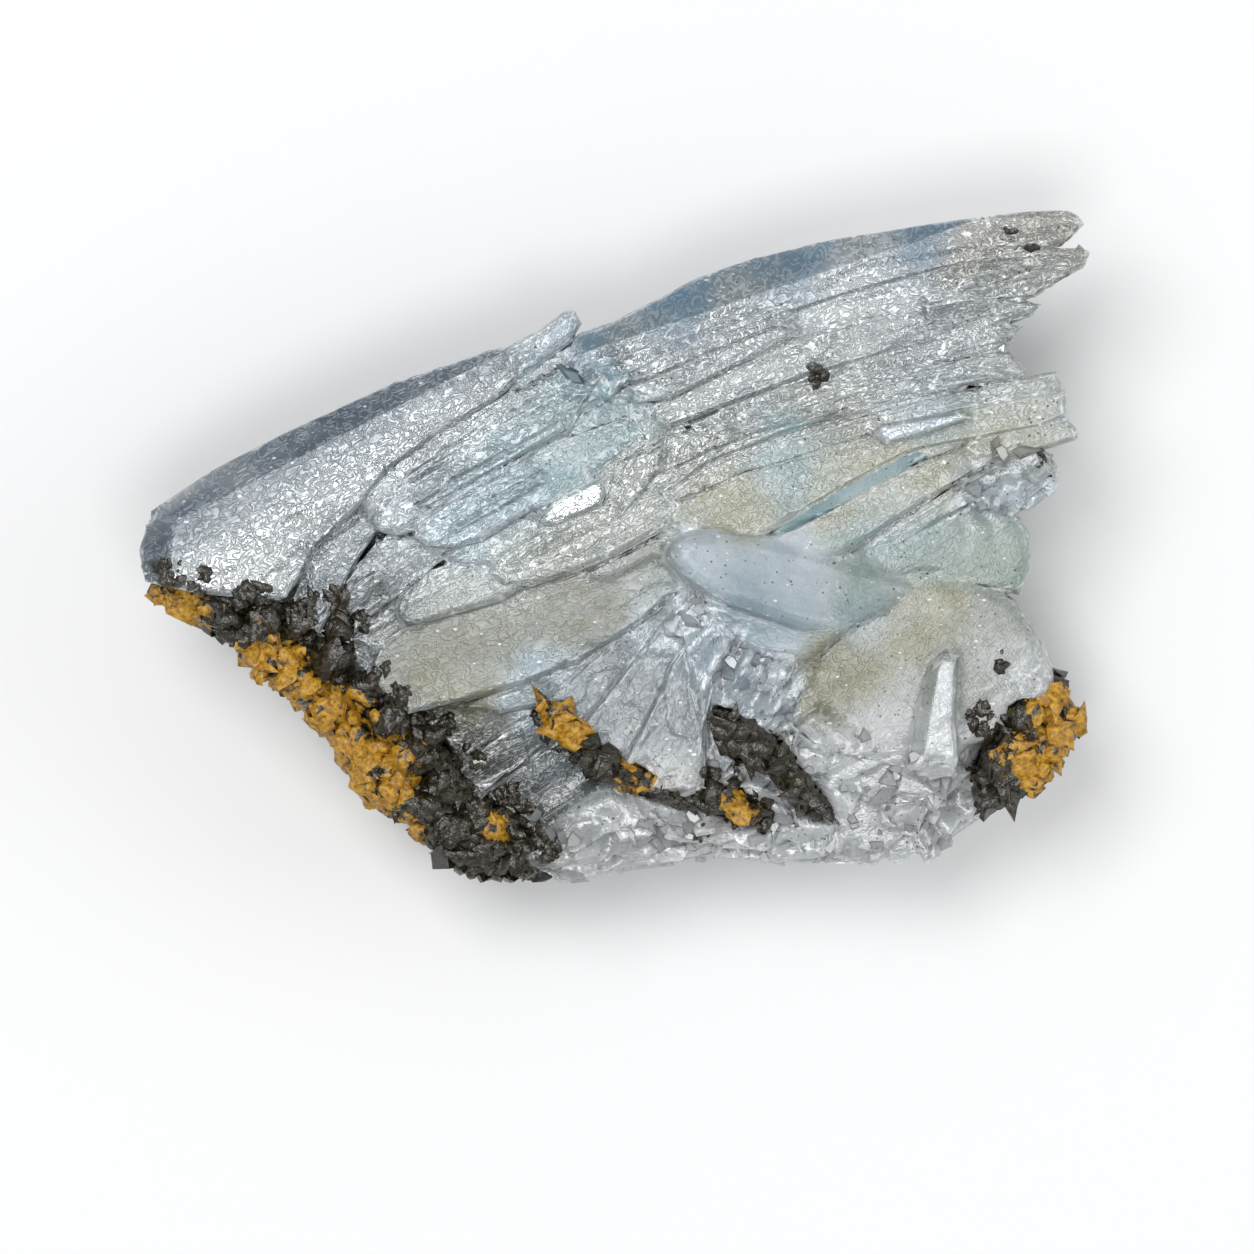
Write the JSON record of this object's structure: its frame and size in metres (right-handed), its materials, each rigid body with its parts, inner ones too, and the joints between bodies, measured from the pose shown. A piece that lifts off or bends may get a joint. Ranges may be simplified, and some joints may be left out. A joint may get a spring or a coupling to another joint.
{
  "type": "blue barite crystal specimen",
  "caption": "Tabular pale blue barite blades fanned into a hand-sized cluster, with ochre and black iron-oxide crusts on its broken edges, lying on its cleaved back.",
  "frame": {"origin": "middle of the cluster's outline, on the surface that it lies on", "axes": "+X to the right along the cluster's length as seen from its front, +Y up the front view, +Z out of the front face"},
  "size_m": [0.0953, 0.0674, 0.0305],
  "materials": {
    "barite": "glassy to pearly",
    "iron_oxide": "dull to semi-gloss"
  },
  "bodies": {
    "root": {"barite_cluster": "barite", "iron_crust_edge": "iron_oxide", "iron_crust_corner": "iron_oxide", "iron_vein_left": "iron_oxide", "iron_vein_right": "iron_oxide"}
  },
  "joints": []
}
